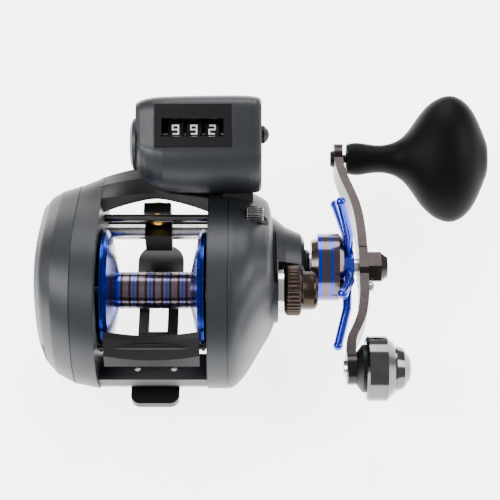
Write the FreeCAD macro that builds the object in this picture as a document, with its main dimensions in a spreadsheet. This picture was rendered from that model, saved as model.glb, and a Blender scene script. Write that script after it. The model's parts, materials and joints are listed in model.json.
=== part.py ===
"""Low-profile trolling reel with a line counter, as separate pieces in millimetres.

Frame: +X towards the handle, +Y towards the rod tip, +Z away from the rod.
The origin is the centre of the foot's underside, below the middle of the spool.
"""
import FreeCAD
import Part
import Sketcher
import math
import os

V = FreeCAD.Vector
X_AXIS = V(1, 0, 0)
TURN_TO_X = FreeCAD.Rotation(V(0, 1, 0), 90)
NO_TURN = FreeCAD.Rotation()

DIMENSIONS = {
    "axis_height": 22.0,
    "spool_flange_rad": 19.5,
    "spool_arbor_rad": 5.9,
    "spool_half_width": 16.4,
    "arbor_half_length": 11.6,
    "spool_bore_rad": 1.5,
    "shaft_rad": 1.5,
    "running_gap": 0.05,
    "body_gap": 0.4,
    "palm_face": -24.6,
    "palm_end": -36.4,
    "bay_half_width": 17.2,
    "gear_case_face": 23.5,
    "gear_case_end": 39.0,
    "boss_end": 48.6,
        "wall": 2.0,
    "drive_forward": 14.9,
    "drive_below": 8.43,
    "gear_module": 0.535,
    "pinion_teeth": 10,
    "main_teeth": 54,
    "drive_shaft_rad": 2.8,
    "worm_forward": 27.0,
    "worm_below": 5.0,
    "worm_rad": 1.55,
    "tube_rad": 2.35,
    "wind_module": 0.503,
    "wind_drive_teeth": 34,
    "worm_gear_teeth": 16,
    "bar_forward": 24.6,
    "bar_above": 6.0,
    "bar_rad": 1.3,
    "guide_width": 9.0,
    "foot_width": 15.6,
    "foot_front": 31.7,
    "foot_rear": 30.6,
    "foot_thickness": 2.5,
    "cast_knob_start": 39.8,
    "cast_knob_end": 52.5,
    "cast_knob_rad": 8.75,
    "sleeve_start": 50.8,
    "sleeve_rad": 11.25,
    "star_plane": 63.2,
    "star_reach": 27.8,
    "star_rod_rad": 1.55,
    "handle_hub_start": 66.6,
    "handle_thickness": 3.1,
    "handle_half_width": 6.0,
    "knob_reach": 46.2,
    "weight_reach": 39.0,
    "knob_start": 63.9,
    "knob_end": 114.0,
    "knob_stem_rad": 5.1,
    "knob_half_long": 22.3,
    "knob_half_short": 12.5,
    "weight_start": 67.2,
    "weight_rad": 10.35,
    "counter_forward": 37.5,
    "counter_above": 27.0,
    "counter_left": -5.7,
    "counter_right": 34.3,
    "counter_seam": 25.9,
    "wheel_rad": 7.6,
    "wheel_pitch": 5.8,
}


class Size:
    """A length from the sheet together with the expression that names it."""

    def __init__(self, value, text):
        self.value = value
        self.text = text

    def joined(self, other, sign, value):
        other_text = other.text if isinstance(other, Size) else "%.6f" % other
        return Size(value, "(%s %s %s)" % (self.text, sign, other_text))

    def __add__(self, other):
        return self.joined(other, "+", self.value + number(other))

    def __sub__(self, other):
        return self.joined(other, "-", self.value - number(other))

    def __mul__(self, other):
        return self.joined(other, "*", self.value * number(other))

    def __neg__(self):
        return Size(-self.value, "(0 - %s)" % self.text)


def number(size):
    return size.value if isinstance(size, Size) else float(size)


class Sizes:
    """Every driving dimension as an attribute."""


def make_sheet(doc):
    sheet = doc.addObject("Spreadsheet::Sheet", "Sizes")
    sizes = Sizes()
    for row, (alias, value) in enumerate(DIMENSIONS.items(), start=1):
        sheet.set("A%d" % row, alias)
        sheet.set("B%d" % row, str(value))
        sheet.setAlias("B%d" % row, alias)
        setattr(sizes, alias, Size(value, "Sizes." + alias))
    doc.recompute()
    return sizes


DOC = FreeCAD.newDocument("trolling_reel")
D = make_sheet(DOC)
SUBPARTS = []


# ---------------------------------------------------------------- helpers

def place(thing, at, rotation=NO_TURN):
    thing.Placement = FreeCAD.Placement(V(*[number(a) for a in at]), rotation)
    for axis, size in zip("xyz", at):
        if isinstance(size, Size):
            thing.setExpression("Placement.Base." + axis, size.text)


def keep(thing, label):
    """Record a document object as a sub-part under its label."""
    thing.Label = label
    SUBPARTS.append(thing)
    return thing


def primitive(kind, at, rotation=NO_TURN, **sizes):
    thing = DOC.addObject("Part::" + kind, kind)
    for name, size in sizes.items():
        if isinstance(size, Size):
            thing.setExpression(name, size.text)
        else:
            setattr(thing, name, size)
    place(thing, at, rotation)
    return thing


def rod(start, length, rad, y, z):
    """A cylinder along +X."""
    return primitive("Cylinder", (start, y, z), TURN_TO_X, Radius=rad, Height=length)


def block(corner, length, width, height, rotation=NO_TURN):
    return primitive("Box", corner, rotation, Length=length, Width=width, Height=height)


def fused(*things):
    joined = DOC.addObject("Part::MultiFuse", "Fusion")
    joined.Shapes = list(things)
    joined.Refine = True
    return joined


def cut(base, *tools):
    tool = tools[0] if len(tools) == 1 else fused(*tools)
    result = DOC.addObject("Part::Cut", "Cut")
    result.Base = base
    result.Tool = tool
    return result


def group(*things):
    """Separate identical solids that share one node."""
    result = DOC.addObject("Part::Compound", "Group")
    result.Links = list(things)
    return result


def feature(label, shape):
    thing = DOC.addObject("Part::Feature", "Form")
    thing.Shape = shape
    return keep(thing, label)


def origin_feature(body, role):
    return next(f for f in body.Origin.OriginFeatures if f.Role == role)


def pin_point(sketch, index, x, y):
    """Tie the start of a sketch line to the sheet, or to an axis where it lies on one."""
    for size, kind, axis in ((x, "DistanceX", -2), (y, "DistanceY", -1)):
        if abs(number(size)) < 1e-9:
            sketch.addConstraint(Sketcher.Constraint("PointOnObject", index, 1, axis))
            continue
        made = sketch.addConstraint(Sketcher.Constraint(kind, -1, 1, index, 1, number(size)))
        if isinstance(size, Size):
            sketch.setExpression("Constraints[%d]" % made, size.text)


def polygon_sketch(body, points, role="XY_Plane"):
    sketch = body.newObject("Sketcher::SketchObject", "Profile")
    sketch.AttachmentSupport = (origin_feature(body, role), "")
    sketch.MapMode = "FlatFace"
    flat = [V(number(x), number(y), 0) for x, y in points]
    count = len(flat)
    for i in range(count):
        sketch.addGeometry(Part.LineSegment(flat[i], flat[(i + 1) % count]))
    for i in range(count):
        sketch.addConstraint(Sketcher.Constraint("Coincident", i, 2, (i + 1) % count, 1))
    for i, (x, y) in enumerate(points):
        pin_point(sketch, i, x, y)
    return sketch


def turned(label, profile, y=0.0, z=0.0):
    """A turned piece: the profile is (x, radius) points, revolved about an X axis at y, z."""
    body = DOC.addObject("PartDesign::Body", "Turned")
    sketch = polygon_sketch(body, profile)
    lathe = body.newObject("PartDesign::Revolution", "Revolution")
    lathe.Profile = sketch
    lathe.ReferenceAxis = (sketch, ["H_Axis"])
    lathe.Angle = 360.0
    place(body, (0.0, y, z))
    return keep(body, label) if label else body


def ring_profile(start, end, inner, outer, chamfer=0.0):
    if not chamfer:
        return [(start, inner), (end, inner), (end, outer), (start, outer)]
    return [(start, inner), (end, inner), (end, outer - chamfer), (end - chamfer, outer),
            (start + chamfer, outer), (start, outer - chamfer)]


def padded(label, points, thickness, at, role="XY_Plane", rotation=NO_TURN):
    """A plate: a closed outline on the body's own plane, padded away from it."""
    body = DOC.addObject("PartDesign::Body", "Padded")
    sketch = polygon_sketch(body, points, role)
    pad = body.newObject("PartDesign::Pad", "Pad")
    pad.Profile = sketch
    if isinstance(thickness, Size):
        pad.setExpression("Length", thickness.text)
    else:
        pad.Length = thickness
    place(body, at, rotation)
    return keep(body, label) if label else body


def gear_outline(teeth, module, addendum=0.85, dedendum=1.1, thick=0.34, shift=0.0):
    """Points of a spur gear with straight-sided teeth, the first tooth on +Y."""
    pitch_rad = teeth * module / 2
    tip_rad = pitch_rad + (addendum + shift) * module
    root_rad = pitch_rad - (dedendum - shift) * module
    step = 2 * math.pi / teeth
    points = []
    for i in range(teeth):
        centre = i * step
        for radius, half in ((root_rad, 0.34), (tip_rad, 0.13)):
            points.append((radius, centre - half * step * thick / 0.40))
        for radius, half in ((tip_rad, 0.13), (root_rad, 0.34)):
            points.append((radius, centre + half * step * thick / 0.40))
    return points


def gear_shape(teeth, module, start, length, bore, y, z, phase=0.0, shift=0.0):
    """A gear about an X axis. Phase is in teeth."""
    turn = phase * 2 * math.pi / teeth
    corners = []
    for radius, angle in gear_outline(teeth, module, shift=shift):
        corners.append(V(start, radius * math.cos(angle + turn), radius * math.sin(angle + turn)))
    wire = Part.makePolygon(corners + corners[:1])
    solid = Part.Face(wire).extrude(V(length, 0, 0))
    if bore:
        solid = solid.cut(Part.makeCylinder(bore, length + 2, V(start - 1, 0, 0), X_AXIS))
    solid.translate(V(0, y, z))
    return solid


def along_x(radius, start, length, y=0.0, z=0.0):
    return Part.makeCylinder(radius, length, V(start, y, z), X_AXIS)


def merged(first, *rest):
    shape = first
    for other in rest:
        shape = shape.fuse(other)
    return shape.removeSplitter()


YOKE_LEAN = math.degrees(math.atan2(D.drive_forward.value, D.drive_below.value))
YOKE_POST_REACH = 7.6
SCREW_Y = 16.5
SCREW_Z = D.axis_height.value + 18.6
SPOOL_Z = D.axis_height
DRIVE_Y = D.drive_forward
DRIVE_Z = D.axis_height - D.drive_below
WORM_Y = D.worm_forward
WORM_Z = D.axis_height - D.worm_below
BAR_Y = D.bar_forward
BAR_Z = D.axis_height + D.bar_above
COUNTER_Y = D.counter_forward
COUNTER_Z = D.axis_height + D.counter_above


# ---------------------------------------------------------------- shells

def side_outline(x, rear=1.0, front=1.0, height=1.0, nose=0.0, droop=0.0):
    """The reel's side view at one X: a smooth closed curve round the spool axis.

    Rear, front and height scale its three extents, nose pushes its front out and droop lowers its belly.
    """
    view = [(33.5 + 0.9 * nose, 2), (31 + nose, 11 + 0.3 * nose), (22.5 + 0.4 * nose, 17 + 0.1 * nose),
            (11, 22.2), (-1, 24.2), (-13, 21.8), (-23, 14.5), (-29.6, 3), (-30.4, -8), (-25.6, -17),
            (-13, -21), (3, -21.8 - droop), (18, -20.5 - 1.6 * droop), (28, -14.5 - droop),
            (33 + 0.4 * nose, -6)]
    points = [V(x, y * (front if y > 0 else rear), z * height + D.axis_height.value) for y, z in view]
    curve = Part.BSplineCurve()
    curve.interpolate(points, True)
    return Part.Wire([curve.toShape()])


def blended(stages, x):
    """Values between stages given as (x, value, value...), eased with a smooth curve at each."""
    for low, high in zip(stages, stages[1:]):
        if x <= high[0] + 1e-9:
            part = (x - low[0]) / (high[0] - low[0])
            return [a + (b - a) * part for a, b in zip(low[1:], high[1:])]
    return list(stages[-1][1:])


def shell_between(stages, steps=6):
    """A smooth solid through side views, sampled evenly along X from a few stages."""
    start = stages[0][0]
    end = stages[-1][0]
    sections = []
    for i in range(steps + 1):
        x = start + (end - start) * i / steps
        sections.append(side_outline(x, *blended(stages, x)))
    return Part.makeLoft(sections, True, False)


def hood_shape():
    """The front bridge: a visor between the rings, highest and furthest forward in the middle."""
    half = D.bay_half_width.value + 1.2
    base = D.axis_height.value
    ends = [(24.0, 9.2), (24.2, 17.0), (30.4, 15.7), (36.2, 12.5), (38.0, 9.9), (37.6, 8.2), (36.0, 8.4),
            (34.6, 10.0), (31.6, 10.8)]
    crown = [(28.2, 11.6), (28.4, 14.4), (33.2, 16.8), (39.0, 15.4), (41.0, 11.8), (40.4, 9.4), (38.8, 9.8),
             (37.6, 12.0), (34.6, 13.4)]
    sections = []
    for part in (-1.0, -0.75, -0.5, -0.25, 0.0, 0.25, 0.5, 0.75, 1.0):
        rise = 1.0 - abs(part) ** 1.5
        corners = [V(part * half, a + (c - a) * rise, base + b + (d - b) * rise)
                   for (a, b), (c, d) in zip(ends, crown)]
        sections.append(Part.makePolygon(corners + corners[:1]))
    return Part.makeLoft(sections, True, False)


def across_bay(outline):
    """A bar from ring to ring with the side view given as (y, z from the spool axis)."""
    half = D.bay_half_width.value + 1.0
    corners = [V(-half, y, D.axis_height.value + z) for y, z in outline]
    return Part.Face(Part.makePolygon(corners + corners[:1])).extrude(V(2 * half, 0, 0))


def floor_shape():
    """The floor on the foot: two cross-members and two rails, open under the spool."""
    half = D.bay_half_width.value + 1.0
    top = D.foot_thickness.value
    rear = Part.makeBox(2 * half, 11.0, 2.4, V(-half, -24.5, top))
    front = Part.makeBox(2 * half, 6.6, 2.1, V(-half, 12.4, top))
    rails = []
    for x in (-6.4, 3.4):
        rails.append(Part.makeBox(3.0, 27.5, 1.1, V(x, -14.5, top)))
    return merged(rear, front, *rails)


def frame_shape():
    """One casting: two rings, the front hood, the low front member, the floor and the rear lip."""
    bay = D.bay_half_width.value
    z = SPOOL_Z.value
    opening = D.spool_flange_rad.value + D.body_gap.value
    palm_face = D.palm_face.value
    case_face = D.gear_case_face.value
    left = shell_between([(palm_face, 0.94, 1.0, 1.0, 2.4, 0.0), (-bay, 1.0, 1.0, 1.0, 5.4, 0.0)], 2)
    left = left.cut(along_x(opening, palm_face - 1, 30, 0, z))
    right = shell_between([(bay, 1.0, 1.0, 1.0, 5.4, 5.0), (case_face, 1.0, 1.0, 1.0, 2.4, 5.0)], 2)
    right = right.cut(along_x(opening, bay - 1, 3.6, 0, z))
    front_bridge = across_bay([(31.4, -8.6), (34.4, -7.8), (34.0, -9.9), (31.4, -13.2), (29.9, -13.6),
                               (30.7, -11.4)])
    rear_lip = across_bay([(-24.5, -19.5), (-22.6, -19.5), (-25.4, -12.0), (-26.9, -8.2), (-28.2, -8.4),
                           (-27.6, -13.0)])
    shape = merged(left, right, hood_shape(), front_bridge, floor_shape(), rear_lip)
    shape = shape.cut(along_x(opening, -bay - 2, 2 * bay + 4, 0, z))
    holes = [along_x(5.0, bay - 1, 12, 0, z),
             along_x(D.drive_shaft_rad.value + 0.05, bay + 1, 12, DRIVE_Y.value, DRIVE_Z.value),
             along_x(D.tube_rad.value, -23.2, 50, WORM_Y.value, WORM_Z.value),
             along_x(D.bar_rad.value, -22.0, 43.0, BAR_Y.value, BAR_Z.value)]
    holes += [rivet_hole(x, y) for x, y in RIVET_PLACES]
    for hole in holes:
        shape = shape.cut(hole)
    return shape.cut(counter_form())


RIVET_PLACES = ((-4.9, 15.8), (4.9, 15.8), (-5.9, -19.0), (5.9, -19.0))


def rivet_hole(x, y):
    return Part.makeCylinder(1.1, 8.0, V(x, y, 0.4))


def seam_ring(x_start, x_end, rear, front, height, nose, droop):
    """A thin step inside the outline, which leaves a dark line between two covers."""
    step = 0.985
    outline = side_outline(x_start, rear * step, front * step, height * step, nose * step, droop)
    return Part.Face(outline).extrude(V(x_end - x_start, 0, 0))


def palm_plate_shape():
    face = D.palm_face.value
    end = D.palm_end.value
    deep = face - end
    shell = shell_between([(end, 0.52, 0.80, 0.74, 0.0, 0.0), (end + 0.8, 0.60, 0.88, 0.84, 0.4, 0.0),
                           (end + 2.2, 0.70, 0.935, 0.90, 0.8, 0.0), (-30.6, 0.83, 0.98, 0.965, 1.4, 0.0),
                           (face - 0.3, 0.94, 1.0, 1.0, 2.4, 0.0)], 12)
    seam = seam_ring(face - 0.3, face, 0.94, 1.0, 1.0, 2.4, 0.0)
    hollow = along_x(16.5, face - 0.66 * deep, deep, 0, SPOOL_Z.value)
    boss = along_x(7.0, face - 0.72 * deep, 0.72 * deep, 0, SPOOL_Z.value)
    boss = boss.cut(along_x(5.0, -27.2, 8.0, 0, SPOOL_Z.value))
    boss = boss.cut(along_x(2.2, -30.8, 8.0, 0, SPOOL_Z.value))
    return merged(shell, seam).cut(hollow).fuse(boss).removeSplitter().cut(clicker_slot())


def clicker_slot():
    return Part.makeBox(12.0, 2.6, 9.0, V(-40.0, -21.8, SPOOL_Z.value - 8.5))


def case_stages(shrink=1.0, reach=1.0):
    """Side views of the gear case from its face outwards; the drive side keeps its full depth."""
    face = D.gear_case_face.value
    stages = ((0.3, 1.0, 1.0, 1.0, 2.4), (3.4, 0.95, 0.99, 0.99, 2.0), (7.2, 0.74, 0.98, 0.95, 1.4),
              (10.9, 0.50, 0.96, 0.86, 0.8), (13.4, 0.36, 0.90, 0.74, 0.2), (14.8, 0.28, 0.78, 0.62, 0.0),
              (15.6, 0.22, 0.66, 0.54, 0.0))
    return [(face + x * reach, rear * shrink, front * shrink, height * shrink, nose, 5.0)
            for x, rear, front, height, nose in stages]


def gear_case_shape():
    """The handle side plate: a hollow cover with the drive boss and a recess for the cast knob."""
    face = D.gear_case_face.value
    end = D.gear_case_end.value
    y = DRIVE_Y.value
    z = DRIVE_Z.value
    cover = shell_between(case_stages(), 7)
    seam = seam_ring(face, face + 0.3, 1.0, 1.0, 1.0, 2.4, 5.0)
    boss_line = [V(face + 6, 0, 0), V(face + 6, 17.0, 0), V(end - 2.6, 17.4, 0), V(end - 0.2, 16.2, 0),
                 V(end + 3.2, 13.4, 0), V(end + 8.4, 11.0, 0), V(D.boss_end.value, 8.6, 0),
                 V(D.boss_end.value, 0, 0)]
    boss = Part.Face(Part.makePolygon(boss_line + boss_line[:1])).revolve(V(0, 0, 0), X_AXIS, 360)
    boss.translate(V(0, y, z))
    cast_boss = along_x(10.4, end - 4.0, 4.6, 0, SPOOL_Z.value)
    cover = merged(cover, boss, cast_boss, seam)
    inside = case_stages(0.92, 0.88)
    cavity = shell_between([(face - 1.0,) + inside[0][1:]] + inside, 8)
    gear_room = along_x(15.6, face - 1, 13.0, y, z)
    cover = cover.cut(cavity).cut(gear_room)
    for tool in (along_x(7.6, end - 3, 9.2, y, z), along_x(4.45, end - 3, 20, y, z),
                 along_x(6.4, D.boss_end.value - 1.2, 4, y, z), along_x(3.2, end - 4, 8, 0, SPOOL_Z.value),
                 along_x(9.4, end + 0.6, 20, 0, SPOOL_Z.value), along_x(3.4, 29.2, 9, SCREW_Y, SCREW_Z),
                 along_x(5.1, face - 1, 4.6, WORM_Y.value, WORM_Z.value)):
        cover = cover.cut(tool)
    return cover


def build_shells():
    frame = frame_shape()
    feature("frame", frame)
    feature("palm_side_plate", palm_plate_shape())
    feature("handle_side_plate", gear_case_shape())
    build_gear_set_plate()
    build_foot()


def yoke_post_places():
    """The two posts stand square to the line from the spool axis to the drive axis."""
    lean = math.radians(YOKE_LEAN)
    return [(side * YOKE_POST_REACH * math.cos(lean),
             D.axis_height.value + side * YOKE_POST_REACH * math.sin(lean))
            for side in (-1, 1)]


def build_gear_set_plate():
    """The plate behind the gears, with the two posts of the clutch yoke."""
    face = D.gear_case_face.value
    plate = Part.Face(side_outline(face, 0.90, 0.90, 0.90, 2.4, 5.0)).extrude(V(1.2, 0, 0))
    for radius, y, z in ((5.0, 0, SPOOL_Z.value),
                         (D.drive_shaft_rad.value + 0.05, DRIVE_Y.value, DRIVE_Z.value),
                         (D.worm_rad.value + 0.05, WORM_Y.value, WORM_Z.value)):
        plate = plate.cut(along_x(radius, face - 1, 4, y, z))
    posts = [along_x(1.0, face + 1.2, 11.4, y, z) for y, z in yoke_post_places()]
    feature("gear_set_plate", merged(plate, *posts))


def build_foot():
    half = D.foot_width * 0.5
    waist = D.foot_width * 0.5 - 1.2
    body = padded(None, [(half, -D.foot_rear), (half, -14.0), (waist, -11.5), (waist, 14.0), (half, 16.5),
                         (half, D.foot_front), (-half, D.foot_front), (-half, 16.5), (-waist, 14.0),
                         (-waist, -11.5), (-half, -14.0), (-half, -D.foot_rear)],
                  D.foot_thickness, (0.0, 0.0, 0.0))
    DOC.recompute()
    corners = body.newObject("PartDesign::Fillet", "RoundEnds")
    pad = body.Group[1]
    upright = [i for i, e in enumerate(pad.Shape.Edges, start=1)
               if abs(e.Vertexes[0].Z - e.Vertexes[-1].Z) > 1 and abs(e.Vertexes[0].Y) > 25]
    corners.Base = (pad, ["Edge%d" % i for i in upright if pad.Shape.Edges[i - 1].Vertexes[0].Y > 0])
    corners.Radius = 6.6
    DOC.recompute()
    rear_corners = body.newObject("PartDesign::Fillet", "RoundRear")
    rear_edges = [i for i, e in enumerate(corners.Shape.Edges, start=1)
                  if abs(e.Vertexes[0].Z - e.Vertexes[-1].Z) > 1 and e.Vertexes[0].Y < -25]
    rear_corners.Base = (corners, ["Edge%d" % i for i in rear_edges])
    rear_corners.Radius = 3.0
    window = polygon_sketch(body, [(-3.1, -3.6), (3.1, -3.6), (3.1, 10.5), (-3.1, 10.5)])
    pocket = body.newObject("PartDesign::Pocket", "Window")
    pocket.Profile = window
    pocket.Type = "ThroughAll"
    pocket.Midplane = True
    holes = body.newObject("Sketcher::SketchObject", "RivetHoles")
    holes.AttachmentSupport = (origin_feature(body, "XY_Plane"), "")
    holes.MapMode = "FlatFace"
    for i, (x, y) in enumerate(RIVET_PLACES):
        holes.addGeometry(Part.Circle(V(x, y, 0), V(0, 0, 1), 1.1))
        holes.addConstraint(Sketcher.Constraint("Radius", i, 1.1))
        holes.addConstraint(Sketcher.Constraint("DistanceX", -1, 1, i, 3, x))
        holes.addConstraint(Sketcher.Constraint("DistanceY", -1, 1, i, 3, y))
    drilled = body.newObject("PartDesign::Pocket", "Drilled")
    drilled.Profile = holes
    drilled.Type = "ThroughAll"
    drilled.Midplane = True
    keep(body, "reel_foot")
    heads = []
    for x, y in RIVET_PLACES:
        heads.append(primitive("Cylinder", (x, y, 0.4), Radius=1.1, Height=D.foot_thickness + 1.2))
    keep(group(*heads), "foot_rivets")


# ---------------------------------------------------------------- spool and clutch

def build_spool():
    half = D.spool_half_width
    arbor = D.arbor_half_length
    bore = D.spool_bore_rad
    flange = D.spool_flange_rad
    turned("spool", [(-half, bore), (half, bore), (half, 3.4), (half - 1.4, 5.0), (half - 1.4, flange - 1.2),
                     (half, flange - 0.6), (half - 0.3, flange), (half - 1.2, flange),
                     (half - 2.3, flange - 1.6), (arbor, D.spool_arbor_rad),
                     (-arbor, D.spool_arbor_rad), (-half + 2.3, flange - 1.6), (-half + 1.2, flange),
                     (-half + 0.3, flange), (-half, flange - 0.6), (-half + 1.4, flange - 1.2),
                     (-half + 1.4, 5.0), (-half, 3.4)], 0.0, SPOOL_Z)
    turned("spool_shaft", [(-30.5, 0.0), (38.5, 0.0), (38.5, D.shaft_rad), (-30.5, D.shaft_rad)],
           0.0, SPOOL_Z)
    inner = D.shaft_rad + D.running_gap
    turned("spool_bearing_left", ring_profile(-27.1, -24.8, inner, 5.0, 0.25), 0.0, SPOOL_Z)
    turned("spool_bearing_right", ring_profile(20.8, 23.4, inner, 5.0, 0.25), 0.0, SPOOL_Z)
    clicker = gear_shape(18, 0.5, -23.6, 1.6, D.shaft_rad.value, 0, SPOOL_Z.value)
    feature("clicker_gear", clicker)


def build_clutch():
    module = D.gear_module.value
    bore = D.shaft_rad.value + D.running_gap.value
    gear = gear_shape(int(D.pinion_teeth.value), module, 26.9, 5.6, bore, 0, SPOOL_Z.value, 0.5, 0.28)
    neck = along_x(2.35, 32.5, 1.9, 0, SPOOL_Z.value)
    boss = along_x(3.1, 34.4, 1.6, 0, SPOOL_Z.value)
    pinion = merged(gear, neck, boss).cut(along_x(bore, 26, 12, 0, SPOOL_Z.value))
    feature("pinion_gear", pinion)
    plate = block((32.85, -9.6, -3.0), 1.2, 19.2, 6.0)
    fork = rod(32.0, 3.0, 2.42, 0.0, 0.0)
    slot = block((32.0, -2.42, 0.0), 3.0, 4.84, 8.0)
    holes = [rod(32.0, 3.0, 1.05, side * YOKE_POST_REACH, 0.0) for side in (-1, 1)]
    yoke = cut(plate, fork, slot, *holes)
    place(yoke, (0.0, 0.0, SPOOL_Z), FreeCAD.Rotation(X_AXIS, YOKE_LEAN))
    keep(yoke, "clutch_yoke")
    springs = []
    for y, z in yoke_post_places():
        coil = Part.makeHelix(0.5, 1.5, 1.5)
        wire = Part.makePolygon([V(1.3, 0, -0.15), V(1.7, 0, -0.15), V(1.7, 0, 0.15), V(1.3, 0, 0.15),
                                 V(1.3, 0, -0.15)])
        solid = Part.Wire(coil.Edges).makePipeShell([wire], True, True)
        solid.Placement = FreeCAD.Placement(V(34.25, y, z), TURN_TO_X)
        springs.append(solid)
    feature("yoke_springs", Part.makeCompound(springs))


def build_thumb_bar():
    """A dished bar across the rear of the bay, with its two guide pins."""
    half = 14.9
    base = D.axis_height.value
    sections = []
    for x, dip in ((-half, 0.0), (-half * 0.55, -1.8), (0.0, -2.6), (half * 0.55, -1.8), (half, 0.0)):
        corners = [V(x, -20.6, base + 8.4 + dip), V(x, -22.6, base + 8.0 + dip),
                   V(x, -26.2, base + 2.8 + dip), V(x, -27.0, base - 2.2), V(x, -25.2, base - 4.0), V(x, -24.2, base + 1.6 + dip),
                   V(x, -21.6, base + 5.4 + dip)]
        sections.append(Part.makePolygon(corners + corners[:1]))
    bar = Part.makeLoft(sections, True, False)
    pins = along_x(1.0, -half - 1.9, 2 * half + 3.8, -23.4, base + 4.0)
    feature("thumb_bar", merged(bar, pins))


# ---------------------------------------------------------------- drive train

def build_drive():
    y = DRIVE_Y
    z = DRIVE_Z
    module = D.gear_module.value
    rad = D.drive_shaft_rad
    turned("drive_shaft", [(19.0, 0.0), (71.5, 0.0), (71.5, 2.2), (66.5, 2.2), (66.5, rad), (19.0, rad)],
           y, z)
    main = gear_shape(int(D.main_teeth.value), module, 27.2, 3.0, rad.value, y.value, z.value,
                      phase_at_pinion())
    main = main.cut(along_x(11.2, 28.6, 3, y.value, z.value))
    feature("main_gear", merged(main, along_x(4.0, 28.0, 1.8, y.value, z.value)).cut(
        along_x(rad.value, 20, 20, y.value, z.value)))
    wind = gear_shape(int(D.wind_drive_teeth.value), D.wind_module.value, 25.0, 1.6, rad.value,
                      y.value, z.value, phase_at_worm())
    feature("levelwind_drive_gear", wind)
    washers = [turned(None, ring_profile(x, x + 0.75, 4.05, 10.8), y, z) for x in (28.65, 29.45, 30.25)]
    keep(group(*washers), "drag_washers")
    turned("pressure_plate", ring_profile(31.05, 32.3, rad, 11.0, 0.3), y, z)
    feature("ratchet_wheel", gear_shape(16, 0.95, 32.8, 1.4, rad.value, y.value, z.value))
    turned("antireverse_sleeve", ring_profile(34.6, 47.4, rad, 4.2), y, z)
    turned("antireverse_bearing", ring_profile(39.0, 45.0, D.drive_shaft_rad + 1.45, 7.6, 0.4), y, z)
    cone = [(47.6, rad + 0.05), (49.2, rad + 0.05), (49.2, 6.0), (47.9, 5.4), (47.6, 5.4)]
    cup = [(49.3, rad + 0.05), (50.6, rad + 0.05), (50.6, 5.4), (50.3, 5.4), (49.3, 6.0)]
    keep(group(turned(None, cone, y, z), turned(None, cup, y, z)), "spring_washers")
    dog = block((32.9, DRIVE_Y - 14.9, DRIVE_Z - 1.4), 1.2, 5.5, 2.8)
    pivot = rod(31.0, 5.8, 1.1, DRIVE_Y - 14.2, DRIVE_Z)
    keep(fused(dog, pivot), "antireverse_dog")


def phase_at_pinion():
    """Teeth of phase that put a main-gear tooth in a pinion gap on the line of centres."""
    angle = math.atan2(D.drive_below.value, -D.drive_forward.value)
    pinion_angle = math.atan2(-D.drive_below.value, D.drive_forward.value)
    pinion_step = 2 * math.pi / D.pinion_teeth.value
    offset = (pinion_angle / pinion_step - 0.5) % 1.0
    main_step = 2 * math.pi / D.main_teeth.value
    return angle / main_step + 0.5 + offset


def phase_at_worm():
    dy = D.worm_forward.value - D.drive_forward.value
    dz = D.drive_below.value - D.worm_below.value
    return math.atan2(dz, dy) * D.wind_drive_teeth.value / (2 * math.pi)


def crossing_groove(rad, x, lean, y, z):
    """A leaning ring round the worm: pairs of them cross like the two threads of a reversing worm."""
    ring = along_x(rad + 2.0, -0.4, 0.8).cut(along_x(rad - 0.4, -1.0, 2.0))
    ring.rotate(V(0, 0, 0), V(0, 0, 1), lean)
    ring.translate(V(x, y, z))
    return ring


def build_levelwind():
    y = WORM_Y
    z = WORM_Z
    rad = D.worm_rad.value
    inner = D.worm_rad + 0.3
    shaft = along_x(rad, -22.4, 49.2, y.value, z.value)
    for i in range(7):
        for lean in (42, -42):
            shaft = shaft.cut(crossing_groove(rad, -14.4 + 4.8 * i, lean, y.value, z.value))
    feature("worm_shaft", shaft)
    tube = turned(None, ring_profile(-23.1, 21.5, inner, D.tube_rad), y, z)
    slit = block((-16.6, D.worm_forward - 1.5, WORM_Z - 4.0), 33.2, 3.0, 4.0)
    keep(cut(tube, slit), "worm_tube")
    dy = -(D.worm_forward.value - D.drive_forward.value)
    dz = -(D.drive_below.value - D.worm_below.value)
    phase = math.atan2(dz, dy) * D.worm_gear_teeth.value / (2 * math.pi) + 0.5
    feature("worm_gear", gear_shape(int(D.worm_gear_teeth.value), D.wind_module.value, 25.0, 1.6, rad,
                                    y.value, z.value, phase))
    keep(rod(-22.0, 43.0, D.bar_rad, BAR_Y, BAR_Z), "cross_bar")


def build_line_guide():
    """The guide block on the worm tube, with a neck behind the cross bar that holds the line's eyelet."""
    half = D.guide_width * 0.5
    low = WORM_Z - 5.2
    block_part = block((-half, D.worm_forward - 4.2, low), D.guide_width, 7.6, 8.4)
    neck = block((-half, D.worm_forward - 0.3, low), D.guide_width, 3.7, 16.9)
    tube_way = rod(-8.0, 16.0, D.tube_rad + 0.08, WORM_Y, WORM_Z)
    eye_z = WORM_Z + 7.4
    along_y = FreeCAD.Rotation(X_AXIS, -90)
    line_way = primitive("Cylinder", (0.0, 20.0, eye_z), along_y, Radius=3.4, Height=15.0)
    keep(cut(fused(block_part, neck), tube_way, line_way), "line_guide")
    outer = primitive("Cylinder", (0.0, D.worm_forward - 0.5, eye_z), along_y, Radius=3.4, Height=4.1)
    lip = primitive("Cone", (0.0, D.worm_forward + 3.4, eye_z), along_y, Radius1=4.1, Radius2=3.6, Height=1.0)
    inner = primitive("Cylinder", (0.0, 20.0, eye_z), along_y, Radius=2.9, Height=15.0)
    keep(cut(fused(outer, lip), inner), "guide_insert")


# ---------------------------------------------------------------- drag, handle, knob

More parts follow.
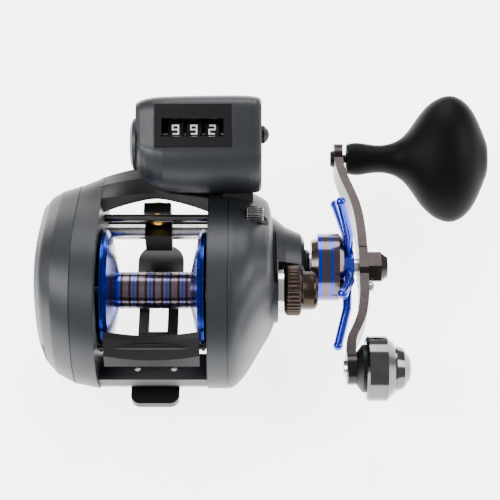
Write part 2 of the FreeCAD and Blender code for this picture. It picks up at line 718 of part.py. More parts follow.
def build_star():
    y = DRIVE_Y
    z = DRIVE_Z
    start = D.sleeve_start
    rad = D.sleeve_rad
    bore = D.drive_shaft_rad + 0.05
    turned("drag_sleeve", [(start, bore), (61.4, bore), (61.4, rad - 1.8), (60.0, rad), (start + 2.1, rad),
                           (start + 2.1, 9.6), (start, 9.0)], y, z)
    arms = [along_x(5.6, 61.45, 3.6, y.value, z.value)]
    for i in range(5):
        angle = math.radians(-145.0 + 72.0 * i)
        outward = V(0, math.cos(angle), math.sin(angle))
        hub = V(D.star_plane.value, y.value, z.value)
        reach = D.star_reach.value
        rad_rod = D.star_rod_rad.value
        knee = hub + outward * (reach * 0.5) - V(0.2, 0, 0)
        tip = V(60.0, y.value, z.value) + outward * (reach - rad_rod)
        for a, b in ((hub, knee), (knee, tip)):
            arms.append(Part.makeCylinder(rad_rod, (b - a).Length, a, b - a))
        arms.append(Part.makeSphere(rad_rod * 1.02, knee))
        arms.append(Part.makeSphere(rad_rod * 1.12, tip))
    star = merged(*arms).cut(along_x(D.drive_shaft_rad.value + 0.05, 60, 8, y.value, z.value))
    feature("star_wheel", star)


def handle_arm_shape():
    """A flat bar in a smooth bend, so that both ends lie closer to the reel than the hub."""
    y = DRIVE_Y.value
    z = DRIVE_Z.value
    thick = D.handle_thickness.value
    half = D.handle_half_width.value
    start = D.handle_hub_start.value
    knob_y = y + D.knob_reach.value
    weight_y = y - D.weight_reach.value
    face = start + thick
    bend = [(-6.5, 60.0), (-6.5, 50.0), (-6.5, 42.0), (-4.8, 34.0), (-1.8, 24.5), (-0.4, 15.5), (0.0, 8.0),
            (0.0, 0.0), (0.0, -9.0), (-0.4, -15.5), (-1.5, -21.5), (-3.2, -26.0), (-4.9, -30.0),
            (-5.4, -33.5), (-5.4, -39.0), (-5.4, -50.0)]
    outer = Part.BSplineCurve()
    outer.interpolate([V(face + drop, y + offset, 0) for drop, offset in bend])
    inner = Part.BSplineCurve()
    inner.interpolate([V(start + drop, y + offset, 0) for drop, offset in bend])
    ends = [Part.makeLine(outer.value(t), inner.value(t))
            for t in (outer.FirstParameter, outer.LastParameter)]
    outline = Part.Wire(Part.__sortEdges__([outer.toShape(), ends[0], inner.toShape(), ends[1]]))
    bar = Part.Face(outline).extrude(V(0, 0, 2 * half))
    bar.translate(V(0, 0, z - half))
    plan = merged(Part.makeBox(30, knob_y - weight_y, 9.2, V(50, weight_y, z - 4.6)),
                  along_x(5.4, 50, 30, knob_y, z), along_x(5.2, 50, 30, weight_y, z),
                  along_x(7.2, 50, 30, y, z))
    bar = bar.common(plan)
    for side, rad, low in ((knob_y, 5.8, 60.1), (weight_y, 5.6, 61.2), (y, 7.4, start),
                           (y - 8.0, 2.2, start)):
        bar = bar.cut(along_x(rad, low + thick, 6, side, z)).cut(along_x(rad, low - 6, 6, side, z))
    bar = bar.cut(along_x(2.25, 50, 30, y, z))
    bar = bar.cut(along_x(0.8, 60, 12, y - 8.0, z))
    bar = bar.cut(along_x(1.6, 50, 30, knob_y, z))
    return bar.cut(along_x(1.6, 50, 30, weight_y, z))


def build_handle():
    y = DRIVE_Y
    z = DRIVE_Z
    feature("handle_arm", handle_arm_shape())
    start = D.handle_hub_start + D.handle_thickness
    nut = Part.makePolygon([V(0, 5.6 * math.cos(i * math.pi / 3), 5.6 * math.sin(i * math.pi / 3))
                            for i in range(7)])
    shape = Part.Face(nut).extrude(V(4.4, 0, 0))
    shape.translate(V(start.value, y.value, z.value))
    cap = Part.makeCone(5.0, 3.4, 2.2, V(start.value + 4.4, y.value, z.value), X_AXIS)
    shape = merged(shape, cap).cut(along_x(2.2, start.value - 1, 2.8, y.value, z.value))
    feature("handle_nut", shape)
    turned("retainer_screw", [(start - 1.5, 0.0), (start + 1.8, 0.0), (start + 1.8, 1.3), (start + 1.2, 1.7),
                              (start, 1.7), (start, 0.8), (start - 1.5, 0.8)], y - 8.0, z)


def build_knob():
    y = D.drive_forward + D.knob_reach
    z = DRIVE_Z
    start = D.knob_start + 0.7
    turned("knob_post", [(58.9, 0.0), (96.0, 0.0), (96.0, 2.6), (94.6, 2.6), (94.6, 1.5), (60.1, 1.5),
                         (60.1, 3.1), (58.9, 2.6)], y, z)
    bushes = [turned(None, ring_profile(x, x + 4.0, 1.55, 2.9), y, z) for x in (66.0, 89.0)]
    keep(group(*bushes), "knob_bushes")
    feature("knob_grip", knob_shape(start.value, y.value, z.value))
    cap = Part.makeCylinder(4.0, 1.2, V(109.0, y.value, z.value), X_AXIS)
    feature("knob_end_cap", cap)


KNOB_TWIST = 35.0


def knob_shape(start, y, z):
    """A soft T-shaped knob: a round stem that swells into an oval bulb along Y."""
    stem = D.knob_stem_rad.value
    long_half = D.knob_half_long.value
    short_half = D.knob_half_short.value
    end = D.knob_end.value
    sections = []
    for x, a, b in ((start, stem, stem - 0.1), (73.0, stem, stem - 0.1), (79.0, stem + 0.1, stem),
                    (82.5, 6.5, 5.9), (87.0, 10.8, 8.4), (91.0, 16.4, 10.4), (95.0, 20.2, 11.8),
                    (100.5, long_half, short_half), (105.0, 21.0, 11.6), (108.8, 17.2, 9.4),
                    (112.0, 10.8, 6.6), (end, 5.6, 3.8)):
        ellipse = Part.Ellipse(V(x, y, z), max(a, b + 0.01), b).toShape()
        ellipse.rotate(V(x, y, z), V(0, 1, 0), 90)
        ellipse.rotate(V(x, y, z), X_AXIS, 90)
        sections.append(Part.Wire([ellipse]))
    grip = Part.makeLoft(sections, True, False)
    grip.rotate(V(x, y, z), X_AXIS, KNOB_TWIST)
    grip = grip.cut(along_x(2.9, start - 1, 33.0, y, z))
    return grip.cut(along_x(4.0, 109.0, 9.0, y, z))


def build_counterweight():
    y = D.drive_forward - D.weight_reach
    z = DRIVE_Z
    start = D.weight_start
    rad = D.weight_rad
    turned("counterweight", [(start, 0.0), (start + 14.6, 0.0), (start + 14.5, 2.0), (start + 13.8, 4.0),
                             (start + 12.0, 6.4), (start + 9.6, 7.4), (start + 9.6, 6.6), (start + 9.0, 6.6),
                             (start + 8.9, rad - 2.2), (start + 6.6, rad), (start + 0.8, rad),
                             (start, rad - 0.8)], y, z)
    turned("counterweight_washer", [(64.4, 1.6), (start, 1.6), (start, 7.6), (start - 1.0, 7.6), (64.4, 5.2)],
           y, z)
    turned("counterweight_rivet", [(60.2, 0.0), (67.2, 0.0), (67.2, 1.55), (61.2, 1.55), (61.2, 3.0),
                                   (60.2, 2.5)], y, z)


def build_cast_control():
    start = D.cast_knob_start
    end = D.cast_knob_end
    rad = D.cast_knob_rad
    turned("cast_control_ring", ring_profile(39.65, 41.4, 3.3, 7.2), 0.0, SPOOL_Z)
    turned("cast_control_knob", [(41.6, 3.3), (43.0, 3.3), (43.0, 0.0), (end, 0.0), (end, rad - 3.4),
                                 (end - 1.0, rad - 2.3), (end - 5.4, rad - 2.3), (end - 5.8, rad - 1.2),
                                 (start + 6.6, rad - 0.3), (start + 2.6, rad - 0.3), (41.6, rad - 1.4)],
           0.0, SPOOL_Z)


# ---------------------------------------------------------------- counter

WHEEL_Y = D.counter_forward + 3.3
WHEEL_Z = D.axis_height + D.counter_above + 2.3
WINDOW_TILT = FreeCAD.Rotation(X_AXIS, 32.0)


def counter_section(x, scale, lift=0.0):
    """The counter's side view at one X: a rounded body with a flat, leaning window face."""
    view = [(-8.6, 8.2), (-1.2, 13.0), (6.0, 16.2), (11.2, 12.2), (13.2, 4.0), (12.0, -5.0), (6.2, -11.2),
            (-2.0, -13.5), (-9.8, -11.3), (-13.8, -5.2), (-13.4, 2.4)]
    points = [V(x, COUNTER_Y.value + a * scale + 0.82 * lift, COUNTER_Z.value + b * scale + 0.57 * lift)
              for a, b in view]
    curve = Part.BSplineCurve()
    curve.interpolate(points, True)
    return Part.Wire([curve.toShape()])


def window_seat(length, height, thickness, inset):
    """A flat slab on the leaning window face, inset along it from the lower left corner."""
    slab = Part.makeBox(length, height, thickness, V(inset, inset, 0))
    slab.Placement = FreeCAD.Placement(V(0.5, COUNTER_Y.value - 6.6, COUNTER_Z.value + 8.1), WINDOW_TILT)
    return slab


def counter_form():
    """The outside of the counter housing, left of the end case."""
    left = D.counter_left.value
    stages = ((left, 0.70, 2.6), (left + 1.5, 0.79, 1.9), (left + 3.3, 0.86, 1.3), (left + 5.7, 0.915, 0.8),
              (left + 8.7, 0.955, 0.35), (left + 13.7, 0.98, 0.1), (left + 20.7, 0.993, 0.0),
              (D.counter_seam.value, 1.0, 0.0))
    return Part.makeLoft([counter_section(*stage) for stage in stages], True, True)


def build_counter():
    left = D.counter_left.value
    seam = D.counter_seam.value
    right = D.counter_right.value
    y = WHEEL_Y.value
    z = WHEEL_Z.value
    outer = counter_form()
    inner = along_x(8.8, left + 1.6, seam - left, y, z)
    seat = window_seat(24.4, 13.6, 9.0, -0.05)
    sight = Part.makeBox(19.6, 5.8, 5.0, V(2.2, 3.2, -4.5))
    sight.Placement = seat.Placement
    housing = outer.cut(inner).cut(seat).cut(sight)
    case = Part.makeLoft([counter_section(seam, 1.0), counter_section(seam + 4.6, 0.992),
                          counter_section(seam + 6.7, 0.975), counter_section(seam + 7.7, 0.955),
                          counter_section(right, 0.91)], True, True)
    case = case.cut(along_x(8.8, seam - 1, 5.5, y, z)).cut(along_x(2.95, seam, 12, y, z))
    axle_way = along_x(1.3, left - 1, 40, y, z)
    feature("counter_housing", housing.cut(axle_way))
    feature("counter_end_case", case.cut(axle_way))
    return housing.fuse(case)


def build_counter_neck(counter):
    """The leg that carries the counter, trimmed to fit its neighbours."""
    base = D.axis_height.value
    corners = [V(21.8, 22.0, base + 12.0), V(21.8, 35.0, base + 8.0), V(21.8, 38.0, base + 18.0),
               V(21.8, 27.0, base + 19.0)]
    neck = Part.Face(Part.makePolygon(corners + corners[:1])).extrude(V(9.8, 0, 0))
    for neighbour in ("frame", "handle_side_plate"):
        shape = next(part.Shape for part in SUBPARTS if part.Label == neighbour)
        neck = neck.cut(shape)
    neck = neck.cut(shell_between(case_stages(0.95, 0.9), 8))
    neck = neck.cut(counter)
    feature("counter_neck", max(neck.Solids, key=lambda solid: solid.Volume))


def build_counter_works():
    y = WHEEL_Y
    z = WHEEL_Z
    turned("counter_left_cap", [(-8.0, 0.0), (-5.7, 0.0), (-5.7, 8.6), (-6.8, 8.2), (-7.6, 6.6)],
           COUNTER_Y + 0.6, COUNTER_Z + 0.8)
    bezel = window_seat(24.3, 13.5, 1.2, 0.0)
    opening = Part.makeBox(19.6, 5.8, 4.0, V(2.2, 3.2, -1.0))
    opening.Placement = bezel.Placement
    feature("counter_bezel", bezel.cut(opening))
    lens = Part.makeBox(19.4, 5.6, 0.8, V(2.3, 3.3, 0.2))
    lens.Placement = bezel.Placement
    feature("counter_lens", lens)
    for i, label in enumerate(("hundreds_wheel", "tens_wheel", "units_wheel")):
        start = D.wheel_pitch * i + 4.6
        turned(label, ring_profile(start, start + 4.8, 1.25, D.wheel_rad, 0.2), y, z)
    turned("counter_axle", [(-3.9, 0.0), (29.6, 0.0), (29.6, 1.2), (-3.9, 1.2)], y, z)
    turned("reset_button", [(32.3, 0.0), (36.9, 0.0), (36.4, 1.6), (35.2, 2.9), (32.3, 2.9)], y, z)
    coil = Part.makeHelix(0.55, 2.2, 1.5)
    section = Part.Wire([Part.makeCircle(0.16, V(1.5, 0, 0), V(0, 1, 0))])
    spring = Part.Wire(coil.Edges).makePipeShell([section], True, True)
    spring.Placement = FreeCAD.Placement(V(29.9, y.value, z.value), TURN_TO_X)
    feature("reset_spring", spring)
    turned("counter_screw", ring_profile(29.5, 34.9, 0.0, 2.95, 0.3), SCREW_Y, SCREW_Z)


def build_clicker():
    keep(block((-33.2, -21.5, SPOOL_Z - 6.3), 5.0, 2.0, 4.6), "clicker_button")
    keep(block((-23.6, -1.2, SPOOL_Z + 5.4), 1.2, 2.4, 7.0), "clicker_tongue")


def build_all():
    build_shells()
    build_spool()
    build_clutch()
    build_thumb_bar()
    build_drive()
    build_levelwind()
    build_line_guide()
    build_star()
    build_handle()
    build_knob()
    build_counterweight()
    build_cast_control()
    build_counter_neck(build_counter())
    build_counter_works()
    build_clicker()


def write_all():
    DOC.recompute()
    failed = [o.Label for o in DOC.Objects if {"Invalid", "Error"} & set(o.State)]
    if failed:
        raise RuntimeError("objects failed: %s" % failed)
    for part in SUBPARTS:
        shape = part.Shape
        if shape.isNull() or not shape.isValid():
            raise RuntimeError("%s has no valid shape" % part.Label)
    os.makedirs("parts", exist_ok=True)
    for part in SUBPARTS:
        part.Shape.exportStep(os.path.join("parts", part.Label + ".step"))
        print("%-22s %8.1f mm3 %d" % (part.Label, part.Shape.Volume, len(part.Shape.Solids)))


build_all()
write_all()
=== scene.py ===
"""Looks for the low-profile trolling reel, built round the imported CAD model."""
import bpy
import bmesh
import json
import math
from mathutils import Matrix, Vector


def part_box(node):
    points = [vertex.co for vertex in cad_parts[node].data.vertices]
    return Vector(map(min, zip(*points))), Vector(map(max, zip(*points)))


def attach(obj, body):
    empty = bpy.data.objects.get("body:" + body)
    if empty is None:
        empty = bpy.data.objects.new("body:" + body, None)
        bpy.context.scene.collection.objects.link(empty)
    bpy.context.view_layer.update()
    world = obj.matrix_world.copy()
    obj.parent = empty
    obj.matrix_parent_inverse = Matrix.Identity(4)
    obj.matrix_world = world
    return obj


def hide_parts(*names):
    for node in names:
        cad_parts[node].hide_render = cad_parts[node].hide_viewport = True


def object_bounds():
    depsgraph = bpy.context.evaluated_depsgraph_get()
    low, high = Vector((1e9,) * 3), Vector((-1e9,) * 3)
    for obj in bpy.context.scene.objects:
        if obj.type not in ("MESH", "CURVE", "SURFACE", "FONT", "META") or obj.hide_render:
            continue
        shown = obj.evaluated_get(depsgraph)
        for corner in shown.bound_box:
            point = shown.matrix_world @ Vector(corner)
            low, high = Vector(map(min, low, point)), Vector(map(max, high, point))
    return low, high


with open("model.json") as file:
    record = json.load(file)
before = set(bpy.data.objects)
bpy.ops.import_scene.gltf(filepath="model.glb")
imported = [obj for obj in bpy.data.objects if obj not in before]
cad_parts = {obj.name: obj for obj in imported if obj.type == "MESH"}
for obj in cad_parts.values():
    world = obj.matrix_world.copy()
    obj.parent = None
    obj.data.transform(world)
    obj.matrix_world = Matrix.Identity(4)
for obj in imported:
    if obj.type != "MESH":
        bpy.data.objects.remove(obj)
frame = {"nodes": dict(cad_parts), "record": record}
CAD_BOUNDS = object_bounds()
MM = 0.001


def lowest(node):
    """The lowest corner of a CAD node's box."""
    return Vector(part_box(node)[0])


def highest(node):
    """The highest corner of a CAD node's box."""
    return Vector(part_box(node)[1])


def middle(node):
    """The middle of a CAD node's box."""
    return (lowest(node) + highest(node)) / 2


SPOOL = middle("spool_shaft")
BODY_GREY = (0.0135, 0.0155, 0.0185)
# Painted shade: the near-black colour given to the frame's bay between the side rings, where it lies in
# shade.
BAY_PAINTED_SHADE = (0.0055, 0.0055, 0.006)


# ---------------------------------------------------------------- materials

def tree_of(material):
    """A material's nodes, its links and its shader."""
    material.use_nodes = True
    nodes = material.node_tree.nodes
    return nodes, material.node_tree.links, nodes["Principled BSDF"]


def texture_noise(nodes, links, scale, detail=4.0, stretch=None):
    """Noise in the object's own coordinates, stretched along an axis if asked."""
    where = nodes.new("ShaderNodeTexCoord")
    mapping = nodes.new("ShaderNodeMapping")
    if stretch:
        mapping.inputs["Scale"].default_value = stretch
    links.new(where.outputs["Object"], mapping.inputs["Vector"])
    fog = nodes.new("ShaderNodeTexNoise")
    fog.inputs["Scale"].default_value = scale
    fog.inputs["Detail"].default_value = detail
    links.new(mapping.outputs["Vector"], fog.inputs["Vector"])
    return fog


def ramp(nodes, links, source, low, high, start=0.3, end=0.7):
    """A blend from the colour low to the colour high as source goes from start to end."""
    blend = nodes.new("ShaderNodeValToRGB")
    blend.color_ramp.elements[0].position = start
    blend.color_ramp.elements[0].color = (*low, 1)
    blend.color_ramp.elements[1].position = end
    blend.color_ramp.elements[1].color = (*high, 1)
    links.new(source, blend.inputs["Fac"])
    return blend


def surface(name, color, metallic, roughness, mottle=0.12, scale=900.0, bump=0.02, grain=2500.0,
            spread=0.06, coat=0.0, coat_roughness=0.1, stretch=None, specular=None):
    """A material whose colour, roughness and fine relief all vary a little over the surface."""
    material = bpy.data.materials.new(name)
    nodes, links, shader = tree_of(material)
    dark = tuple(c * (1 - mottle) for c in color)
    light = tuple(min(1.0, c * (1 + mottle)) for c in color)
    fog = texture_noise(nodes, links, scale * 0.2, 5.0, stretch)
    tint = ramp(nodes, links, fog.outputs["Fac"], dark, light)
    links.new(tint.outputs["Color"], shader.inputs["Base Color"])
    fine = texture_noise(nodes, links, grain, 3.0, stretch)
    low = max(0.02, roughness - spread)
    high = min(1.0, roughness + spread)
    rough = ramp(nodes, links, fine.outputs["Fac"], (low,) * 3, (high,) * 3)
    links.new(rough.outputs["Color"], shader.inputs["Roughness"])
    relief = nodes.new("ShaderNodeBump")
    relief.inputs["Strength"].default_value = bump
    relief.inputs["Distance"].default_value = 0.0002
    links.new(fine.outputs["Fac"], relief.inputs["Height"])
    links.new(relief.outputs["Normal"], shader.inputs["Normal"])
    shader.inputs["Metallic"].default_value = metallic
    shader.inputs["Coat Weight"].default_value = coat
    shader.inputs["Coat Roughness"].default_value = coat_roughness
    if specular is not None:
        shader.inputs["Specular IOR Level"].default_value = specular
    return material


def bands(name, base, band, places, soft=0.00015, **look):
    """A surface() material with a second colour wherever the object's X lies inside one of the places."""
    material = surface(name, base, **look)
    nodes, links, shader = tree_of(material)
    where = nodes.new("ShaderNodeTexCoord")
    split = nodes.new("ShaderNodeSeparateXYZ")
    links.new(where.outputs["Object"], split.inputs["Vector"])
    mask = None
    for low, high in places:
        after = nodes.new("ShaderNodeMapRange")
        after.inputs["From Min"].default_value = low - soft
        after.inputs["From Max"].default_value = low + soft
        before = nodes.new("ShaderNodeMapRange")
        before.inputs["From Min"].default_value = high + soft
        before.inputs["From Max"].default_value = high - soft
        both = nodes.new("ShaderNodeMath")
        both.operation = "MULTIPLY"
        for cell in (after, before):
            links.new(split.outputs["X"], cell.inputs["Value"])
        links.new(after.outputs["Result"], both.inputs[0])
        links.new(before.outputs["Result"], both.inputs[1])
        if mask is None:
            mask = both
        else:
            wider = nodes.new("ShaderNodeMath")
            wider.operation = "MAXIMUM"
            links.new(mask.outputs[0], wider.inputs[0])
            links.new(both.outputs[0], wider.inputs[1])
            mask = wider
    mix = nodes.new("ShaderNodeMix")
    mix.data_type = "RGBA"
    plain = shader.inputs["Base Color"].links[0].from_socket
    links.new(mask.outputs[0], mix.inputs["Factor"])
    links.new(plain, mix.inputs["A"])
    mix.inputs["B"].default_value = (*band, 1)
    links.new(mix.outputs["Result"], shader.inputs["Base Color"])
    return material


def ring_the_arbor(material):
    """Fine turned rings across X, drawn as darker lines in the colour."""
    nodes, links, shader = tree_of(material)
    where = nodes.new("ShaderNodeTexCoord")
    wave = nodes.new("ShaderNodeTexWave")
    wave.bands_direction = "X"
    wave.inputs["Scale"].default_value = 121.0
    wave.inputs["Distortion"].default_value = 0.0
    links.new(where.outputs["Object"], wave.inputs["Vector"])
    shade = ramp(nodes, links, wave.outputs["Fac"], (0.10,) * 3, (1.0,) * 3, 0.12, 0.30)
    mix = nodes.new("ShaderNodeMix")
    mix.data_type = "RGBA"
    mix.blend_type = "MULTIPLY"
    mix.inputs["Factor"].default_value = 0.85
    plain = shader.inputs["Base Color"].links[0].from_socket
    links.new(plain, mix.inputs["A"])
    links.new(shade.outputs["Color"], mix.inputs["B"])
    links.new(mix.outputs["Result"], shader.inputs["Base Color"])


def make_materials():
    """One material per slot of the record, and a few more for single nodes and pieces."""
    kinds = {}
    paint = dict(metallic=0.40, roughness=0.46, bump=0.05, coat=0.12, coat_roughness=0.35)
    kinds["body_paint"] = surface("satin_grey_paint", BODY_GREY, **paint)
    kinds["case_paint"] = surface("satin_grey_case", BODY_GREY, **paint)
    kinds["black_plastic"] = surface("black_moulding", (0.003, 0.003, 0.0035), 0.0, 0.42, bump=0.06,
                                     specular=0.2)
    kinds["foot_metal"] = surface("foot_black", (0.008, 0.008, 0.009), 0.3, 0.36, bump=0.05)
    spool_rims = ((-0.0400, -0.0109), (0.0118, 0.0400))
    arbor_stripes = ((-0.0068, -0.0062), (-0.0015, -0.0009), (0.0038, 0.0044), (0.0088, 0.0094))
    kinds["spool_metal"] = bands("spool_gunmetal", (0.150, 0.110, 0.140), (0.012, 0.045, 0.50),
                                 spool_rims + arbor_stripes, metallic=0.95, roughness=0.22)
    ring_the_arbor(kinds["spool_metal"])
    kinds["steel"] = surface("machined_steel", (0.52, 0.52, 0.53), 1.0, 0.24, stretch=(1, 6, 6))
    kinds["blue_anodised"] = surface("blue_anodised", (0.006, 0.022, 0.46), 0.75, 0.2, coat=0.8,
                                     coat_roughness=0.06)
    kinds["gunmetal"] = surface("gunmetal_anodised", (0.030, 0.025, 0.024), 0.95, 0.26)
    kinds["bronze"] = surface("dark_bronze", (0.036, 0.026, 0.020), 0.95, 0.28)
    kinds["brass_gear"] = surface("machined_brass", (0.60, 0.42, 0.16), 1.0, 0.25)
    kinds["nickel"] = surface("black_nickel", (0.115, 0.108, 0.108), 1.0, 0.12)
    kinds["knob_soft"] = surface("soft_black", (0.0012, 0.0012, 0.0014), 0.0, 0.50, bump=0.08, specular=0.08)
    # The number wheels are black here and carry light digits.
    kinds["white_plastic"] = surface("wheel_black", (0.008, 0.008, 0.009), 0.0, 0.4)
    kinds["fibre"] = surface("drag_fibre", (0.04, 0.04, 0.04), 0.0, 0.7)
    kinds["gold_insert"] = surface("gold_insert", (0.60, 0.40, 0.12), 1.0, 0.18)
    # The frame is grey all over; the bay between the side rings is coloured near black as painted shade.
    kinds["frame_with_painted_shade_bay"] = bands("frame_grey_with_painted_shade", BODY_GREY, BAY_PAINTED_SHADE,
                                    ((-0.0176, 0.0176),), **paint)
    kinds["sleeve_bands"] = bands("drag_sleeve_bands", (0.105, 0.080, 0.086), (0.010, 0.040, 0.60),
                                  ((0.0532, 0.0543), (0.0570, 0.0579)), metallic=0.97, roughness=0.15)
    kinds["digit_ink"] = surface("digit_ink", (0.78, 0.79, 0.80), 0.0, 0.45)
    kinds["drag_ring"] = surface("bright_ring", (0.62, 0.60, 0.58), 1.0, 0.16)
    lens = bpy.data.materials.new("clear_lens")
    nodes, links, shader = tree_of(lens)
    haze = texture_noise(nodes, links, 300.0, 3.0)
    smear = ramp(nodes, links, haze.outputs["Fac"], (0.02,) * 3, (0.07,) * 3)
    links.new(smear.outputs["Color"], shader.inputs["Roughness"])
    shader.inputs["Base Color"].default_value = (0.95, 0.96, 0.96, 1)
    shader.inputs["Transmission Weight"].default_value = 1.0
    shader.inputs["IOR"].default_value = 1.06
    kinds["lens_clear"] = lens
    return kinds


def dress_nodes(kinds):
    """Gives each CAD node its slot's material. Three nodes have one of their own."""
    special = {"frame": "frame_with_painted_shade_bay", "drag_sleeve": "sleeve_bands", "cast_control_ring": "drag_ring"}
    slots = {row["node"]: row["material_slot"] for row in frame["record"]["subparts"]}
    for name, thing in frame["nodes"].items():
        thing.data.materials.clear()
        thing.data.materials.append(kinds[special.get(name, slots[name])])


# ---------------------------------------------------------------- studio

def studio():
    """A pale floor just under the reel, a white surround and three softboxes."""
    floor_z = CAD_BOUNDS[0][2] - 0.0005
    mesh = bpy.data.meshes.new("floor")
    half = 3.0
    corners = [(-half, -half, floor_z), (half, -half, floor_z), (half, half, floor_z), (-half, half, floor_z)]
    mesh.from_pydata(corners, [], [(0, 1, 2, 3)])
    floor = bpy.data.objects.new("floor", mesh)
    bpy.context.collection.objects.link(floor)
    material = bpy.data.materials.new("pale_floor")
    nodes, links, shader = tree_of(material)
    fog = texture_noise(nodes, links, 2.0, 2.0)
    tint = ramp(nodes, links, fog.outputs["Fac"], (0.94,) * 3, (0.96,) * 3)
    links.new(tint.outputs["Color"], shader.inputs["Base Color"])
    shader.inputs["Roughness"].default_value = 0.9
    shader.inputs["Emission Color"].default_value = (1, 1, 1, 1)
    shader.inputs["Emission Strength"].default_value = 4.0
    mesh.materials.append(material)
    world = bpy.data.worlds.new("studio")
    bpy.context.scene.world = world
    world.use_nodes = True
    world.node_tree.nodes["Background"].inputs["Color"].default_value = (1, 1, 1, 1)
    world.node_tree.nodes["Background"].inputs["Strength"].default_value = 0.6
    softbox("left_softbox", (-0.30, -0.10, 0.40), 0.30, 3.2)
    softbox("right_softbox", (0.45, 0.0, 0.35), 0.25, 2.0)
    softbox("front_softbox", (0.05, 0.45, 0.45), 0.35, 3.0)


def softbox(name, place, size, power):
    """A square area light that faces the spool."""
    lamp = bpy.data.lights.new(name, "AREA")
    lamp.shape = "SQUARE"
    lamp.size = size
    lamp.energy = power
    thing = bpy.data.objects.new(name, lamp)
    thing.location = place
    aim = (SPOOL - Vector(place)).normalized()
    thing.rotation_euler = aim.to_track_quat("-Z", "Y").to_euler()
    bpy.context.collection.objects.link(thing)


def camera():
    """Above and behind the reel, 55 degrees over the horizon, with a long lens."""
    tilt = math.radians(55.0)
    look = Vector((0, math.cos(tilt), -math.sin(tilt)))
    up = Vector((0, math.sin(tilt), math.cos(tilt)))
    distance = 0.440
    target = Vector((0.0306, 0, SPOOL.z)) + up * 0.01306
    lens = bpy.data.cameras.new("camera")
    lens.lens = 98.2
    lens.sensor_width = 36.0
    lens.clip_start = 0.01
    thing = bpy.data.objects.new("camera", lens)
    thing.location = target - look * distance
    thing.rotation_euler = look.to_track_quat("-Z", "Y").to_euler()
    bpy.context.collection.objects.link(thing)
    bpy.context.scene.camera = thing


# ---------------------------------------------------------------- pieces

def new_piece(name, vertices, faces, material, slot, body, sharp, *nodes):
    """A mesh from its corners and faces, dressed, riding on a body and standing for the CAD nodes given."""
    mesh = bpy.data.meshes.new(name)
    mesh.from_pydata([tuple(v) for v in vertices], [], faces)
    work = bmesh.new()
    work.from_mesh(mesh)
    bmesh.ops.recalc_face_normals(work, faces=work.faces)
    work.to_mesh(mesh)
    work.free()
    for face in mesh.polygons:
        face.use_smooth = True
    mesh.set_sharp_from_angle(angle=math.radians(sharp))
    mesh.materials.append(material)
    thing = bpy.data.objects.new(name, mesh)
    bpy.context.collection.objects.link(thing)
    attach(thing, body)
    if nodes:
        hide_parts(*nodes)


def lathe(profile, y, z, around, knurl):
    """Corners and faces of a turned solid about X. knurl(x, angle) gives what is taken off the radius."""
    vertices = []
    faces = []
    for x, rad in profile:
        for i in range(around):
            angle = 2 * math.pi * i / around
            reach = rad - (knurl(x, angle) if rad > 0.5 * MM else 0.0)
            vertices.append((x, y + reach * math.cos(angle), z + reach * math.sin(angle)))
    rows = len(profile)
    for j in range(rows):
        k = (j + 1) % rows
        for i in range(around):
            n = (i + 1) % around
            faces.append((j * around + i, j * around + n, k * around + n, k * around + i))
    return vertices, faces


def eased(profile, bevel=0.0002):
    """The closed profile with every corner cut by a small bevel."""
    out = []
    count = len(profile)
    for i, (x, r) in enumerate(profile):
        here = Vector((x, r))
        for other in (Vector(profile[i - 1]), Vector(profile[(i + 1) % count])):
            step = other - here
            out.append(tuple(here + step.normalized() * min(bevel, step.length * 0.4)))
    return out


def cast_knob_piece():
    """The cast control knob: fine knurls round its wide part and a smooth domed end."""
    low = lowest("cast_control_knob")
    high = highest("cast_control_knob")
    rad = (high.z - low.z) / 2
    x0, x1 = low.x, high.x
    y, z = middle("cast_control_knob").y, middle("cast_control_knob").z
    bore = 3.32 * MM
    groove_depth = 0.34 * MM
    grooves = 36
    profile = [(x0, bore), (x0, rad - 1.4 * MM), (x0 + 1.0 * MM, rad - 0.3 * MM),
               (x0 + 4.8 * MM, rad - 0.3 * MM), (x0 + 5.4 * MM, rad - 1.0 * MM),
               (x1 - 5.4 * MM, rad - 1.3 * MM), (x1 - 5.0 * MM, rad - 2.2 * MM),
               (x1 - 1.4 * MM, rad - 2.3 * MM), (x1 - 0.5 * MM, rad - 2.9 * MM),
               (x1, rad - 3.9 * MM),
               (x1, 0.3 * MM), (x0 + 1.4 * MM, 0.3 * MM), (x0 + 1.4 * MM, bore)]

    def knurl(x, angle):
        if not x0 + 0.8 * MM < x < x0 + 5.0 * MM:
            return 0.0
        return groove_depth * (0.5 + 0.5 * math.cos(angle * grooves))
    vertices, faces = lathe(eased(profile), y, z, 8 * grooves, knurl)
    new_piece("cast_knob_knurled", vertices, faces, KINDS["bronze"], "bronze", "cast_control", 40.0,
              "cast_control_knob")


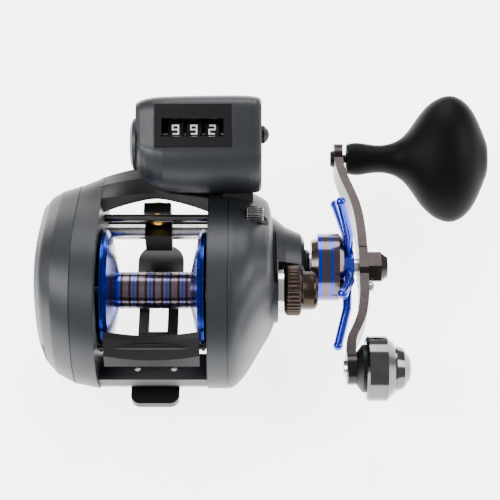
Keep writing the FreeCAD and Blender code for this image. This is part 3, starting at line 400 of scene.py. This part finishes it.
def counter_screw_piece():
    """The knurled screw under the counter."""
    low = lowest("counter_screw")
    high = highest("counter_screw")
    rad = (high.z - low.z) / 2
    y, z = middle("counter_screw").y, middle("counter_screw").z
    core = 0.25 * MM
    groove_depth = 0.26 * MM
    grooves = 22
    profile = [(low.x, core), (low.x, rad - 0.3 * MM), (low.x + 0.3 * MM, rad), (high.x - 0.5 * MM, rad),
               (high.x, rad - 0.6 * MM), (high.x, core)]

    def knurl(x, angle):
        if not low.x + 0.2 * MM < x < high.x - 0.2 * MM:
            return 0.0
        return groove_depth * (0.5 + 0.5 * math.cos(angle * grooves))
    vertices, faces = lathe(eased(profile, 0.00012), y, z, 8 * grooves, knurl)
    new_piece("counter_screw_knurled", vertices, faces, KINDS["nickel"], "nickel", "reel_frame", 40.0,
              "counter_screw")


STROKES = {"2": ("top", "right_high", "middle", "left_low", "bottom"),
           "9": ("top", "left_high", "right_high", "middle", "right_low", "bottom")}


def digit_pieces():
    """A digit wrapped on each number wheel where it faces the window."""
    window = middle("counter_lens")
    for wheel, sign in (("hundreds_wheel", "9"), ("tens_wheel", "9"), ("units_wheel", "2")):
        centre = middle(wheel)
        rad = (highest(wheel).z - lowest(wheel).z) / 2
        facing = math.atan2(window.z - centre.z, window.y - centre.y)
        near = 0.02 * MM
        proud = 0.10 * MM
        wide = 0.90 * MM
        tall = 1.35 * MM
        line = 0.24 * MM
        spots = {"top": (-wide, wide, tall - line, tall + line), "middle": (-wide, wide, -line, line),
                 "bottom": (-wide, wide, -tall - line, -tall + line),
                 "left_high": (-wide - line, -wide + line, -line, tall + line),
                 "right_high": (wide - line, wide + line, -line, tall + line),
                 "left_low": (-wide - line, -wide + line, -tall - line, line),
                 "right_low": (wide - line, wide + line, -tall - line, line)}
        vertices = []
        faces = []
        for stroke in STROKES[sign]:
            left, right, bottom, top = spots[stroke]
            base = len(vertices)
            steps = 6
            for i in range(steps + 1):
                up = bottom + (top - bottom) * i / steps
                angle = facing - up / rad
                for x, reach in ((left, near), (right, near), (right, proud), (left, proud)):
                    vertices.append((centre.x + x, centre.y + (rad + reach) * math.cos(angle),
                                     centre.z + (rad + reach) * math.sin(angle)))
            for i in range(steps):
                for j in range(4):
                    n = (j + 1) % 4
                    a = base + i * 4
                    faces.append((a + j, a + n, a + 4 + n, a + 4 + j))
            faces.append((base, base + 1, base + 2, base + 3))
            last = base + steps * 4
            faces.append((last + 3, last + 2, last + 1, last))
        new_piece("digit_" + wheel, vertices, faces, KINDS["digit_ink"], "black_plastic", wheel, 30.0)


KINDS = make_materials()
dress_nodes(KINDS)
cast_knob_piece()
counter_screw_piece()
digit_pieces()
studio()
camera()
